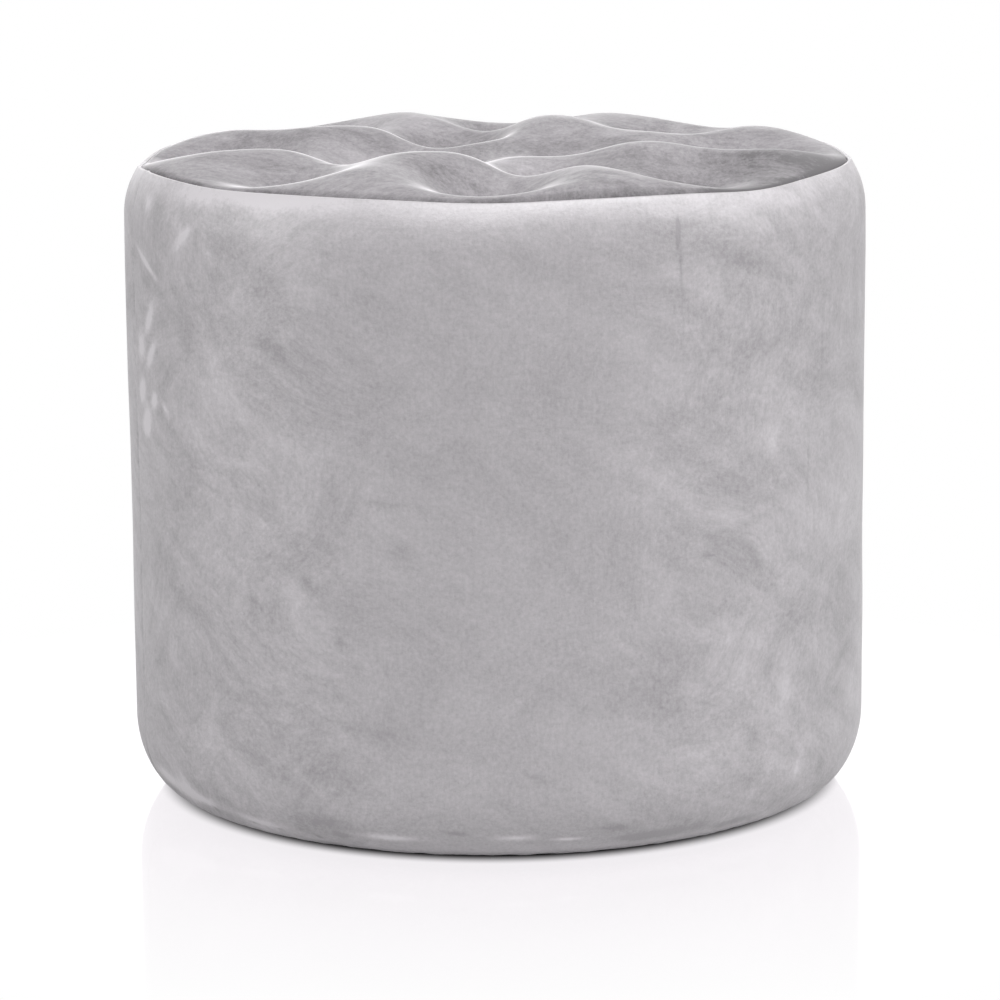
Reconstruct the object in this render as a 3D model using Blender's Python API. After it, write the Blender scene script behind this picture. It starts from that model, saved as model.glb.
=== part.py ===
"""Round upholstered pouf: a tufted velvet top on a smooth velvet drum, over foam and a timber frame."""

import math

import bmesh
import bpy
from mathutils import Matrix, Vector
from mathutils.geometry import delaunay_2d_cdt

# Whole drum, in metres. +Z is up, the floor is at zero and the drum's axis is Z.
BODY_DIAMETER = 0.400
SEAM_HEIGHT = 0.344
GAP = 0.0003
ROUND_SEGMENTS = 48

# Velvet cover
COVER_THICKNESS = 0.0012
SEAM_ALLOWANCE = 0.010
SHOULDER_RADIUS = 0.041
BASE_EDGE_RUN = 0.024
BASE_EDGE_RISE = 0.038
HEM_WIDTH = 0.030
SIDE_SEAM_ANGLE = math.radians(196.5)
SIDE_SEAM_WIDTH = 0.0012
SIDE_SEAM_DEPTH = 0.0006

# Tufted top
CROWN_RISE = 0.018
CROWN_POWER = 6.2
TUFT_SINK = 0.024
TUFT_SPREAD = 0.038
TUFT_POWER = 2.4
WELL_SINK = 0.011
WELL_SPREAD = 0.013
RIM_HOLD_POWER = 20
INNER_RING_RADIUS = 0.059
OUTER_RING_INSET = 0.052
INNER_RING_COUNT = 4
OUTER_RING_COUNT = 8
TUFT_TURN = math.radians(-2)
# No two tufts are pulled alike: each drifts by a share of its ring's radius and of the step between
# tufts, and has its own share of the usual sink and spread
INNER_TUFT_SHARES = (
    (-0.27, -0.07, 0.80, 1.20), (0.27, -0.03, 1.10, 0.85),
    (-0.13, -0.03, 1.35, 1.30), (0.27, 0.02, 1.00, 0.90),
)
OUTER_TUFT_SHARES = (
    (-0.04, 0.12, 1.20, 1.15), (-0.03, 0.06, 0.70, 1.10), (0.01, -0.02, 0.80, 1.05), (0.03, 0.0, 0.90, 1.05),
    (0.04, -0.03, 1.35, 0.95), (0.04, -0.02, 0.70, 1.10), (0.0, 0.01, 0.95, 1.05), (0.02, 0.04, 0.85, 1.20),
)

# Buttons, twines and washers
BUTTON_RADIUS = 0.007
BUTTON_HEIGHT = 0.004
BUTTON_RIM_HEIGHT = 0.0012
BUTTON_SOCKET_DEPTH = 0.0016
BUTTON_CLEARANCE = 0.001
TWINE_RADIUS = 0.001
TWINE_TAIL = 0.008
KNOT_RADIUS = 0.0026
KNOT_HEIGHT = 0.005
WASHER_RADIUS = 0.010
WASHER_THICKNESS = 0.002

# Foam
SEAT_FOAM_THICKNESS = 0.050
SIDE_FOAM_THICKNESS = 0.010
SIDE_FOAM_FOOT = 0.003
SIDE_FOAM_LIP = 0.001
FOAM_JOINT_WIDTH = 0.001

# Frame
WALL_THICKNESS = 0.003
WALL_JOINT_WIDTH = 0.001
BASE_THICKNESS = 0.015
DECK_THICKNESS = 0.015
POST_DEPTH = 0.022
POST_WIDTH = 0.040
POST_CHAMFER = 0.002
POST_COUNT = 4
POST_TURN = math.radians(45)

# Screws
SCREW_LENGTH = 0.045
SCREW_SHANK_RADIUS = 0.002
SCREW_HEAD_RADIUS = 0.004
SCREW_TIP_LENGTH = 0.005
SCREW_RECESS_RADIUS = 0.0016
SCREW_RECESS_DEPTH = 0.0014
SCREW_SHIFT = 0.003

# Underside
LINING_THICKNESS = 0.0008
LINING_OVERLAP = 0.020
GLIDE_HEIGHT = 0.003
GLIDE_RADIUS = 0.012
GLIDE_EDGE = 0.0012
GLIDE_NAIL_RADIUS = 0.00125
GLIDE_NAIL_GRIP = 0.010
GLIDE_NAIL_TIP = 0.002
GLIDE_HEM_MARGIN = 0.004
GLIDE_COUNT = 4

# Cutters run past the faces that they cut by this much
CUT_OVERRUN = 0.002
WELD_DISTANCE = 0.00001

# Facets
BASE_EDGE_STEPS = 5
SHOULDER_STEPS = 3
DOME_STEPS = 3
KNOT_STEPS = 4
BORE_SEGMENTS = 6
SMALL_SEGMENTS = 12
TUFT_FLOOR_SEGMENTS = 8
TUFT_SLOPE_SEGMENTS = 10
TUFT_SLOPE_RADIUS = 0.021
PANEL_POINT_SPACING = 0.021
PANEL_RIM_BAND = 0.010
SHARP_ANGLE = math.radians(35)

# Levels and radii worked out from the sizes above, from the floor up and from the outside in
BODY_RADIUS = BODY_DIAMETER / 2
LINING_BOTTOM = GLIDE_HEIGHT + GAP
COVER_BOTTOM = LINING_BOTTOM + LINING_THICKNESS + GAP
BASE_BOTTOM = COVER_BOTTOM + COVER_THICKNESS + GAP
BASE_TOP = BASE_BOTTOM + BASE_THICKNESS
SEAT_FOAM_BOTTOM = SEAM_HEIGHT - SEAT_FOAM_THICKNESS
DECK_TOP = SEAT_FOAM_BOTTOM - GAP
DECK_BOTTOM = DECK_TOP - DECK_THICKNESS
POST_BOTTOM = BASE_TOP + GAP
POST_TOP = DECK_BOTTOM - GAP
FOAM_OUTER_RADIUS = BODY_RADIUS - COVER_THICKNESS - GAP
FOAM_INNER_RADIUS = FOAM_OUTER_RADIUS - SIDE_FOAM_THICKNESS
WALL_OUTER_RADIUS = FOAM_INNER_RADIUS - GAP
WALL_INNER_RADIUS = WALL_OUTER_RADIUS - WALL_THICKNESS
BOARD_RADIUS = WALL_INNER_RADIUS - GAP
SEAM_RADIUS = BODY_RADIUS - SIDE_FOAM_THICKNESS
OUTER_RING_RADIUS = SEAM_RADIUS - OUTER_RING_INSET
TOP_RADIUS = SEAM_RADIUS - GAP
TOP_INNER_RADIUS = TOP_RADIUS - COVER_THICKNESS
SEAT_FOAM_RADIUS = TOP_INNER_RADIUS - GAP
ALLOWANCE_BOTTOM = SEAM_HEIGHT - SEAM_ALLOWANCE
BASE_EDGE_RADIUS = BODY_RADIUS - BASE_EDGE_RUN
BASE_EDGE_LEVEL = COVER_BOTTOM + BASE_EDGE_RISE
HEM_RADIUS = BASE_EDGE_RADIUS - HEM_WIDTH
SHOULDER_SWEEP = math.acos(1 - SIDE_FOAM_THICKNESS / SHOULDER_RADIUS)
SHOULDER_LEVEL = SEAM_HEIGHT - SHOULDER_RADIUS * math.sin(SHOULDER_SWEEP)
COVER_AND_GAP = COVER_THICKNESS + GAP
TWINE_BORE_RADIUS = TWINE_RADIUS + GAP
TUFT_FLOOR_RADIUS = BUTTON_RADIUS + BUTTON_CLEARANCE
WASHER_TOP = DECK_BOTTOM - GAP
WASHER_BOTTOM = WASHER_TOP - WASHER_THICKNESS
NAIL_BORE_RADIUS = GLIDE_NAIL_RADIUS + GAP
PILOT_RADIUS = SCREW_SHANK_RADIUS + GAP
SCREW_NECK = SCREW_SHANK_RADIUS - SCREW_HEAD_RADIUS
LINING_RADIUS = HEM_RADIUS + LINING_OVERLAP
GLIDE_RING_RADIUS = HEM_RADIUS - GLIDE_HEM_MARGIN - GLIDE_RADIUS
FACET_SHARE = math.cos(math.pi / ROUND_SEGMENTS)


def on_circle(radius, angle):
    return radius * math.cos(angle), radius * math.sin(angle)


def ring_of_tufts(radius, count, turn, shares):
    """Tufts on a ring, each as (centre, sink, spread)."""
    step = math.tau / count
    tufts = []
    for index in range(count):
        radius_share, step_share, sink_share, spread_share = shares[index % len(shares)]
        centre = on_circle(radius * (1 + radius_share), turn + step * (index + step_share))
        tufts.append((centre, TUFT_SINK * sink_share, TUFT_SPREAD * spread_share))
    return tufts


def all_tufts():
    inner_turn = TUFT_TURN + math.pi / OUTER_RING_COUNT
    inner = ring_of_tufts(INNER_RING_RADIUS, INNER_RING_COUNT, inner_turn, INNER_TUFT_SHARES)
    return inner + ring_of_tufts(OUTER_RING_RADIUS, OUTER_RING_COUNT, TUFT_TURN, OUTER_TUFT_SHARES)


PULLS = all_tufts()
TUFTS = [centre for centre, _, _ in PULLS]


def top_height(x, y):
    """Height of the velvet top: a crown that is flat in the middle, less every tuft's wide pull and well."""
    reach = math.hypot(x, y) / TOP_RADIUS
    pull = 0
    for (tuft_x, tuft_y), sink, spread in PULLS:
        distance = max(math.hypot(x - tuft_x, y - tuft_y), TUFT_FLOOR_RADIUS)
        pull += sink * math.exp(-((distance / spread) ** TUFT_POWER))
        pull += WELL_SINK * math.exp(-((distance / WELL_SPREAD) ** 2))
    crown = CROWN_RISE * (1 - reach ** CROWN_POWER)
    return SEAM_HEIGHT + crown - pull * (1 - reach ** RIM_HOLD_POWER)


def clear_scene():
    for old in list(bpy.data.objects):
        bpy.data.objects.remove(old, do_unlink=True)


def make_material(name, colour, roughness, metallic=0.0):
    material = bpy.data.materials.new(name)
    material.use_nodes = True
    shader = material.node_tree.nodes["Principled BSDF"]
    shader.inputs["Base Color"].default_value = (*colour, 1)
    shader.inputs["Roughness"].default_value = roughness
    shader.inputs["Metallic"].default_value = metallic
    material.diffuse_color = (*colour, 1)
    return material


def make_mesh(name, shape, material):
    mesh = bpy.data.meshes.new(name)
    shape.to_mesh(mesh)
    shape.free()
    mesh.shade_smooth()
    mesh.set_sharp_from_angle(angle=SHARP_ANGLE)
    mesh.materials.append(material)
    return mesh


def place(name, mesh, location=(0, 0, 0), rotation=(0, 0, 0)):
    """Put a named piece of the pouf in its place. Like pieces share one mesh."""
    piece = bpy.data.objects.new(name, mesh)
    piece.location = location
    piece.rotation_euler = rotation
    piece.parent = ASSEMBLY
    bpy.context.collection.objects.link(piece)
    return piece


def cut(piece, name, shape):
    """Cut a shape out of a piece. The cutter stays in the file as a wire guide."""
    mesh = bpy.data.meshes.new(name)
    shape.to_mesh(mesh)
    shape.free()
    cutter = bpy.data.objects.new(name, mesh)
    cutter.display_type = "WIRE"
    cutter.hide_render = True
    cutter.parent = piece
    bpy.context.collection.objects.link(cutter)
    boolean = piece.modifiers.new(name, "BOOLEAN")
    boolean.operation = "DIFFERENCE"
    boolean.object = cutter


def revolve(profile, segments, closed=True):
    """Spin a profile of (radius, height) points round Z. An open profile starts and ends on the axis."""
    shape = bmesh.new()
    points = [shape.verts.new((radius, 0, height)) for radius, height in profile]
    edges = [shape.edges.new(pair) for pair in zip(points, points[1:])]
    if closed:
        edges.append(shape.edges.new((points[-1], points[0])))
    bmesh.ops.spin(
        shape, geom=points + edges, cent=(0, 0, 0), axis=(0, 0, 1),
        angle=math.tau, steps=segments, use_merge=True,
    )
    bmesh.ops.remove_doubles(shape, verts=shape.verts, dist=WELD_DISTANCE)
    bmesh.ops.recalc_face_normals(shape, faces=shape.faces)
    return shape


def add_copies(target, shape, places):
    """Add one copy of a shape to a bmesh at each (x, y) place."""
    mesh = bpy.data.meshes.new("copy")
    shape.to_mesh(mesh)
    shape.free()
    for x, y in places:
        first = len(target.verts)
        target.from_mesh(mesh)
        target.verts.ensure_lookup_table()
        bmesh.ops.translate(target, verts=target.verts[first:], vec=(x, y, 0))
    bpy.data.meshes.remove(mesh)


def ellipse_arc(centre, size, start, end, steps):
    """Points (radius, height) along part of an ellipse."""
    points = []
    for step in range(steps + 1):
        angle = start + (end - start) * step / steps
        points.append((centre[0] + size[0] * math.cos(angle), centre[1] + size[1] * math.sin(angle)))
    return points


def side_line(inset):
    """Outline of the side, drawn in by an inset: rounded bottom edge, straight side and shoulder."""
    edge_size = (BASE_EDGE_RUN - inset, BASE_EDGE_RISE - inset)
    shoulder_size = (SHOULDER_RADIUS - inset, SHOULDER_RADIUS - inset)
    edge = ellipse_arc((BASE_EDGE_RADIUS, BASE_EDGE_LEVEL), edge_size, -math.pi / 2, 0, BASE_EDGE_STEPS)
    shoulder_centre = (BODY_RADIUS - SHOULDER_RADIUS, SHOULDER_LEVEL)
    return edge + ellipse_arc(shoulder_centre, shoulder_size, 0, SHOULDER_SWEEP, SHOULDER_STEPS)


def from_radius(line, radius):
    """The rest of a line from the point where it first grows out to a radius."""
    for index, (start, end) in enumerate(zip(line, line[1:])):
        if start[0] <= radius < end[0]:
            share = (radius - start[0]) / (end[0] - start[0])
            return [(radius, start[1] + share * (end[1] - start[1]))] + line[index + 1:]
    return line


def up_to_radius(line, radius):
    """The part of a line up to the point where it has come back in to a radius."""
    return from_radius(line[::-1], radius)[::-1]


def box(size, centre):
    shape = bmesh.new()
    bmesh.ops.create_cube(shape, size=1)
    bmesh.ops.scale(shape, verts=shape.verts, vec=size)
    bmesh.ops.translate(shape, verts=shape.verts, vec=centre)
    return shape


def turn_round_axis(shape, angle):
    bmesh.ops.rotate(shape, verts=shape.verts, cent=(0, 0, 0), matrix=Matrix.Rotation(angle, 3, "Z"))


def radial_slot(angle, width, inner, outer, bottom, top):
    """A flat upright cutter that crosses a drum's wall at one angle."""
    slot = box((outer - inner, width, top - bottom), ((outer + inner) / 2, 0, (top + bottom) / 2))
    turn_round_axis(slot, angle)
    return slot


def make_side_cover():
    """Velvet drum: hem, rounded bottom edge, straight side, shoulder and turned-down seam allowance."""
    allowance_outer = SEAM_RADIUS + COVER_THICKNESS
    inside = up_to_radius(side_line(COVER_THICKNESS), allowance_outer)
    profile = [(HEM_RADIUS, COVER_BOTTOM)] + side_line(0)
    profile += [(SEAM_RADIUS, ALLOWANCE_BOTTOM), (allowance_outer, ALLOWANCE_BOTTOM)]
    profile += inside[::-1] + [(HEM_RADIUS, COVER_BOTTOM + COVER_THICKNESS)]
    cover = place("side_cover", make_mesh("side_cover", revolve(profile, ROUND_SEGMENTS), VELVET))
    cut(cover, "side_seam_groove", side_seam_groove())


def side_seam_groove():
    """A shallow slot down the side, where the two ends of the velvet strip are sewn together."""
    groove = bmesh.new()
    line = up_to_radius(side_line(SIDE_SEAM_DEPTH), SEAM_RADIUS + COVER_THICKNESS)
    outer = [(BASE_EDGE_RADIUS, COVER_BOTTOM - CUT_OVERRUN)]
    outer += [(BODY_RADIUS + CUT_OVERRUN, COVER_BOTTOM - CUT_OVERRUN)]
    outer += [(BODY_RADIUS + CUT_OVERRUN, SEAM_HEIGHT), (line[-1][0], SEAM_HEIGHT)]
    side = groove.faces.new([groove.verts.new((r, -SIDE_SEAM_WIDTH / 2, z)) for r, z in line + outer[::-1]])
    extruded = bmesh.ops.extrude_face_region(groove, geom=[side])["geom"]
    moved = [part for part in extruded if isinstance(part, bmesh.types.BMVert)]
    bmesh.ops.translate(groove, verts=moved, vec=(0, SIDE_SEAM_WIDTH, 0))
    turn_round_axis(groove, SIDE_SEAM_ANGLE)
    bmesh.ops.recalc_face_normals(groove, faces=groove.faces)
    return groove


def ring_points(centre, radius, count, height=None):
    """Points on a circle, all at one height, or each at the height of the velvet top."""
    points = []
    for index in range(count):
        x, y = on_circle(radius, math.tau * index / count)
        x, y = x + centre[0], y + centre[1]
        points.append(Vector((x, y, top_height(x, y) if height is None else height)))
    return points


def fill_points(limit):
    """A triangular grid of points between the tufts."""
    points = []
    rows = math.ceil(limit / PANEL_POINT_SPACING) + 1
    for row in range(-rows, rows + 1):
        for column in range(-rows, rows + 1):
            x = PANEL_POINT_SPACING * (column + (row % 2) / 2)
            y = PANEL_POINT_SPACING * row * math.sqrt(3) / 2
            nearest = min(math.hypot(x - tuft_x, y - tuft_y) for tuft_x, tuft_y in TUFTS)
            if math.hypot(x, y) < limit and nearest > TUFT_SLOPE_RADIUS + PANEL_POINT_SPACING / 2:
                points.append(Vector((x, y, top_height(x, y))))
    return points


def tufted_disc():
    """The velvet top's outer surface, as an open sheet with a twine hole in the flat floor of each pit."""
    points = ring_points((0, 0), TOP_INNER_RADIUS, ROUND_SEGMENTS)
    rim_count = len(points)
    holes = set()
    for tuft in TUFTS:
        floor = top_height(*tuft)
        first = len(points)
        points += ring_points(tuft, TWINE_BORE_RADIUS, BORE_SEGMENTS, floor)
        holes.update(range(first, len(points)))
        points += ring_points(tuft, TUFT_FLOOR_RADIUS, TUFT_FLOOR_SEGMENTS, floor)
        points += ring_points(tuft, TUFT_SLOPE_RADIUS, TUFT_SLOPE_SEGMENTS)
    points += ring_points((0, 0), TOP_INNER_RADIUS - PANEL_RIM_BAND, ROUND_SEGMENTS)
    points += fill_points(TOP_INNER_RADIUS - PANEL_RIM_BAND - PANEL_POINT_SPACING / 2)
    rim = [(index, (index + 1) % rim_count) for index in range(rim_count)]
    flat, _, triangles, _, _, _ = delaunay_2d_cdt([point.xy for point in points], rim, [], 1, WELD_DISTANCE)
    disc = bmesh.new()
    corners = [disc.verts.new(point) for point in points[:len(flat)]]
    for triangle in triangles:
        if not holes.issuperset(triangle):
            disc.faces.new([corners[index] for index in triangle])
    bmesh.ops.recalc_face_normals(disc, faces=disc.faces)
    return disc


def open_edges(shape):
    return [edge for edge in shape.edges if edge.is_boundary]


def near_rim(edge):
    return all(vert.co.xy.length > TOP_INNER_RADIUS - PANEL_RIM_BAND / 2 for vert in edge.verts)


def extrude_ring(shape, edges, radius, height):
    """Extrude a round loop of edges to a new radius and height, and return the new loop."""
    new = bmesh.ops.extrude_edge_only(shape, edges=edges)["geom"]
    for part in new:
        if isinstance(part, bmesh.types.BMVert):
            flat = part.co.xy.normalized() * radius
            part.co = (flat.x, flat.y, height)
    return [part for part in new if isinstance(part, bmesh.types.BMEdge) and part.is_boundary]


def make_top_cover():
    """Velvet top panel: the tufted sheet with its thickness, and its seam allowance turned down."""
    shape = tufted_disc()
    top_rim = [edge for edge in open_edges(shape) if near_rim(edge)]
    under = bmesh.ops.duplicate(shape, geom=shape.verts[:] + shape.edges[:] + shape.faces[:])["geom"]
    under_verts = [part for part in under if isinstance(part, bmesh.types.BMVert)]
    bmesh.ops.translate(shape, verts=under_verts, vec=(0, 0, -COVER_THICKNESS))
    for tuft in TUFTS:
        close = [
            edge for edge in open_edges(shape)
            if all((vert.co.xy - Vector(tuft)).length < TUFT_FLOOR_RADIUS for vert in edge.verts)
        ]
        bmesh.ops.bridge_loops(shape, edges=close)
    under_rim = [edge for edge in open_edges(shape) if near_rim(edge) and edge not in top_rim]
    loop = extrude_ring(shape, top_rim, TOP_RADIUS, SEAM_HEIGHT)
    loop = extrude_ring(shape, loop, TOP_RADIUS, ALLOWANCE_BOTTOM)
    loop = extrude_ring(shape, loop, TOP_INNER_RADIUS, ALLOWANCE_BOTTOM)
    bmesh.ops.bridge_loops(shape, edges=loop + under_rim)
    bmesh.ops.recalc_face_normals(shape, faces=shape.faces)
    place("top_cover", make_mesh("top_cover", shape, VELVET))


def make_seat_foam():
    """Foam pad pressed to the form of the velvet above it, with a bore for each twine."""
    shape = tufted_disc()
    for vert in shape.verts:
        if vert.co.xy.length > TOP_INNER_RADIUS - PANEL_RIM_BAND / 2:
            vert.co.xy = vert.co.xy.normalized() * SEAT_FOAM_RADIUS
        vert.co.z -= COVER_AND_GAP
    lower = bmesh.ops.extrude_edge_only(shape, edges=open_edges(shape))["geom"]
    for part in lower:
        if isinstance(part, bmesh.types.BMVert):
            part.co.z = SEAT_FOAM_BOTTOM
    bottom = [part for part in lower if isinstance(part, bmesh.types.BMEdge) and part.is_boundary]
    bmesh.ops.triangle_fill(shape, use_beauty=True, edges=bottom)
    bmesh.ops.recalc_face_normals(shape, faces=shape.faces)
    place("seat_foam", make_mesh("seat_foam", shape, FOAM))


def make_side_foam():
    """Foam wrap: thinned at the foot to the rounded edge, and cut back at the top for the seams."""
    relief_radius = SEAM_RADIUS + COVER_AND_GAP
    relief_level = ALLOWANCE_BOTTOM - GAP
    outside = from_radius(side_line(COVER_AND_GAP), FOAM_INNER_RADIUS + SIDE_FOAM_FOOT)
    outside = up_to_radius(outside, relief_radius + SIDE_FOAM_LIP)
    profile = [(FOAM_INNER_RADIUS, outside[0][1])] + outside
    profile += [(relief_radius, outside[-1][1]), (relief_radius, relief_level)]
    profile += [(FOAM_INNER_RADIUS, relief_level)]
    foam = place("side_foam", make_mesh("side_foam", revolve(profile, ROUND_SEGMENTS), FOAM))
    slot = radial_slot(
        SIDE_SEAM_ANGLE, FOAM_JOINT_WIDTH, FOAM_INNER_RADIUS - CUT_OVERRUN, BODY_RADIUS, 0, SEAM_HEIGHT,
    )
    cut(foam, "foam_joint", slot)


def wall_bottom():
    """Level at which the wall's outer corner clears the rounded velvet edge."""
    return from_radius(side_line(COVER_AND_GAP), WALL_OUTER_RADIUS)[0][1]


def make_drum_wall():
    """Hardboard wrapped round the boards and posts, its ends butted on a post."""
    bottom = wall_bottom()
    profile = [
        (WALL_INNER_RADIUS, bottom), (WALL_OUTER_RADIUS, bottom),
        (WALL_OUTER_RADIUS, DECK_TOP), (WALL_INNER_RADIUS, DECK_TOP),
    ]
    wall = place("drum_wall", make_mesh("drum_wall", revolve(profile, ROUND_SEGMENTS), HARDBOARD))
    slot = radial_slot(
        POST_TURN, WALL_JOINT_WIDTH, WALL_INNER_RADIUS - CUT_OVERRUN, BODY_RADIUS, 0, SEAM_HEIGHT,
    )
    cut(wall, "wall_joint", slot)


def post_radius():
    """Radius of the middle of a post: its outer corners stay clear of the flats of the wall."""
    corner = WALL_INNER_RADIUS * FACET_SHARE - GAP
    return math.sqrt(corner ** 2 - (POST_WIDTH / 2) ** 2) - POST_DEPTH / 2


def post_angles():
    return [POST_TURN + math.tau * index / POST_COUNT for index in range(POST_COUNT)]


def screw_places():
    return [on_circle(post_radius() - SCREW_SHIFT, angle) for angle in post_angles()]


def glide_places():
    return [on_circle(GLIDE_RING_RADIUS, math.tau * index / GLIDE_COUNT) for index in range(GLIDE_COUNT)]


def make_screw():
    """Countersunk wood screw, its head at zero and its point down."""
    profile = [
        (0, -SCREW_LENGTH), (SCREW_SHANK_RADIUS, SCREW_TIP_LENGTH - SCREW_LENGTH),
        (SCREW_SHANK_RADIUS, SCREW_NECK), (SCREW_HEAD_RADIUS, 0),
        (SCREW_RECESS_RADIUS, 0), (SCREW_RECESS_RADIUS / 2, -SCREW_RECESS_DEPTH), (0, -SCREW_RECESS_DEPTH),
    ]
    return revolve(profile, SMALL_SEGMENTS, closed=False)


def screw_hole(depth):
    """Cutter for a countersunk hole through a board of a given depth, its mouth at zero."""
    profile = [
        (0, -depth - CUT_OVERRUN), (PILOT_RADIUS, -depth - CUT_OVERRUN), (PILOT_RADIUS, SCREW_NECK),
        (SCREW_HEAD_RADIUS + GAP, 0), (SCREW_HEAD_RADIUS + GAP, CUT_OVERRUN), (0, CUT_OVERRUN),
    ]
    return revolve(profile, SMALL_SEGMENTS, closed=False)


def straight_hole(radius, bottom, top, segments):
    return revolve([(0, bottom), (radius, bottom), (radius, top), (0, top)], segments, closed=False)


def make_base_panel():
    """Bottom board, chamfered where the velvet turns under, with holes for screws and glide nails."""
    profile = [
        (0, BASE_BOTTOM), (BASE_EDGE_RADIUS, BASE_BOTTOM), (BOARD_RADIUS, wall_bottom()),
        (BOARD_RADIUS, BASE_TOP), (0, BASE_TOP),
    ]
    shape = revolve(profile, ROUND_SEGMENTS, closed=False)
    panel = place("base_panel", make_mesh("base_panel", shape, BOARD))
    holes = bmesh.new()
    screw = screw_hole(BASE_THICKNESS)
    bmesh.ops.rotate(screw, verts=screw.verts, cent=(0, 0, 0), matrix=Matrix.Rotation(math.pi, 3, "X"))
    bmesh.ops.translate(screw, verts=screw.verts, vec=(0, 0, BASE_BOTTOM))
    add_copies(holes, screw, screw_places())
    nail_hole_top = BASE_BOTTOM + GLIDE_NAIL_GRIP + GAP
    nail = straight_hole(NAIL_BORE_RADIUS, BASE_BOTTOM - CUT_OVERRUN, nail_hole_top, SMALL_SEGMENTS)
    add_copies(holes, nail, glide_places())
    cut(panel, "base_panel_holes", holes)


def make_deck_panel():
    """Upper board that carries the seat, with holes for the twines and the screws."""
    profile = [(0, DECK_BOTTOM), (BOARD_RADIUS, DECK_BOTTOM), (BOARD_RADIUS, DECK_TOP), (0, DECK_TOP)]
    shape = revolve(profile, ROUND_SEGMENTS, closed=False)
    panel = place("deck_panel", make_mesh("deck_panel", shape, BOARD))
    holes = bmesh.new()
    screw = screw_hole(DECK_THICKNESS)
    bmesh.ops.translate(screw, verts=screw.verts, vec=(0, 0, DECK_TOP))
    add_copies(holes, screw, screw_places())
    hole_bottom = DECK_BOTTOM - CUT_OVERRUN
    twine = straight_hole(TWINE_BORE_RADIUS, hole_bottom, DECK_TOP + CUT_OVERRUN, BORE_SEGMENTS)
    add_copies(holes, twine, TUFTS)
    cut(panel, "deck_panel_holes", holes)


def make_post_shape():
    """A timber post with chamfered long edges, standing on zero."""
    length = POST_TOP - POST_BOTTOM
    shape = box((POST_DEPTH, POST_WIDTH, length), (0, 0, length / 2))
    upright = [edge for edge in shape.edges if abs(edge.verts[0].co.z - edge.verts[1].co.z) > length / 2]
    bmesh.ops.bevel(
        shape, geom=upright, offset=POST_CHAMFER, offset_type="OFFSET",
        segments=1, profile=0.5, affect="EDGES", material=-1,
    )
    return shape


def make_pilot_holes():
    """Cutter for the screw holes in both ends of a post."""
    length = POST_TOP - POST_BOTTOM
    base_depth = SCREW_LENGTH - BASE_THICKNESS + GAP
    deck_depth = SCREW_LENGTH - DECK_THICKNESS + GAP
    lower = straight_hole(PILOT_RADIUS, -CUT_OVERRUN, base_depth, SMALL_SEGMENTS)
    upper = straight_hole(PILOT_RADIUS, length - deck_depth, length + CUT_OVERRUN, SMALL_SEGMENTS)
    holes = bmesh.new()
    add_copies(holes, lower, [(-SCREW_SHIFT, 0)])
    add_copies(holes, upper, [(-SCREW_SHIFT, 0)])
    return holes


def make_posts():
    mesh = make_mesh("frame_post", make_post_shape(), PINE)
    for index, angle in enumerate(post_angles()):
        x, y = on_circle(post_radius(), angle)
        post = place(f"frame_post_{index + 1}", mesh, (x, y, POST_BOTTOM), (0, 0, angle))
        cut(post, f"pilot_holes_{index + 1}", make_pilot_holes())


def make_screws():
    mesh = make_mesh("wood_screw", make_screw(), STEEL)
    for index, (x, y) in enumerate(screw_places()):
        place(f"deck_screw_{index + 1}", mesh, (x, y, DECK_TOP))
        place(f"base_screw_{index + 1}", mesh, (x, y, BASE_BOTTOM), (math.pi, 0, 0))


def make_dust_cover():
    """Black lining under the base, laid over the velvet's hem."""
    top = LINING_BOTTOM + LINING_THICKNESS
    profile = [(0, LINING_BOTTOM), (LINING_RADIUS, LINING_BOTTOM), (LINING_RADIUS, top), (0, top)]
    shape = revolve(profile, ROUND_SEGMENTS, closed=False)
    lining = place("dust_cover", make_mesh("dust_cover", shape, LINING))
    holes = bmesh.new()
    hole = straight_hole(NAIL_BORE_RADIUS, LINING_BOTTOM - CUT_OVERRUN, top + CUT_OVERRUN, SMALL_SEGMENTS)
    add_copies(holes, hole, glide_places())
    cut(lining, "dust_cover_holes", holes)


def make_glides():
    """Low round glides, each with its nail moulded in."""
    nail_top = BASE_BOTTOM + GLIDE_NAIL_GRIP
    profile = [
        (0, 0), (GLIDE_RADIUS - GLIDE_EDGE, 0), (GLIDE_RADIUS, GLIDE_EDGE), (GLIDE_RADIUS, GLIDE_HEIGHT),
        (GLIDE_NAIL_RADIUS, GLIDE_HEIGHT), (GLIDE_NAIL_RADIUS, nail_top - GLIDE_NAIL_TIP), (0, nail_top),
    ]
    mesh = make_mesh("glide", revolve(profile, SMALL_SEGMENTS, closed=False), PLASTIC)
    for index, (x, y) in enumerate(glide_places()):
        place(f"glide_{index + 1}", mesh, (x, y, 0))


def make_button():
    """Covered button: flat back with a socket for the twine, short rim and low dome."""
    profile = [
        (0, BUTTON_SOCKET_DEPTH), (TWINE_BORE_RADIUS, BUTTON_SOCKET_DEPTH), (TWINE_BORE_RADIUS, 0),
        (BUTTON_RADIUS - BUTTON_RIM_HEIGHT / 2, 0),
    ]
    dome_size = (BUTTON_RADIUS, BUTTON_HEIGHT - BUTTON_RIM_HEIGHT)
    profile += ellipse_arc((0, BUTTON_RIM_HEIGHT), dome_size, 0, math.pi / 2, DOME_STEPS)
    return revolve(profile, SMALL_SEGMENTS, closed=False)


def make_washer():
    profile = [
        (TWINE_BORE_RADIUS, 0), (WASHER_RADIUS, 0), (WASHER_RADIUS, WASHER_THICKNESS),
        (TWINE_BORE_RADIUS, WASHER_THICKNESS),
    ]
    return revolve(profile, SMALL_SEGMENTS)


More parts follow.
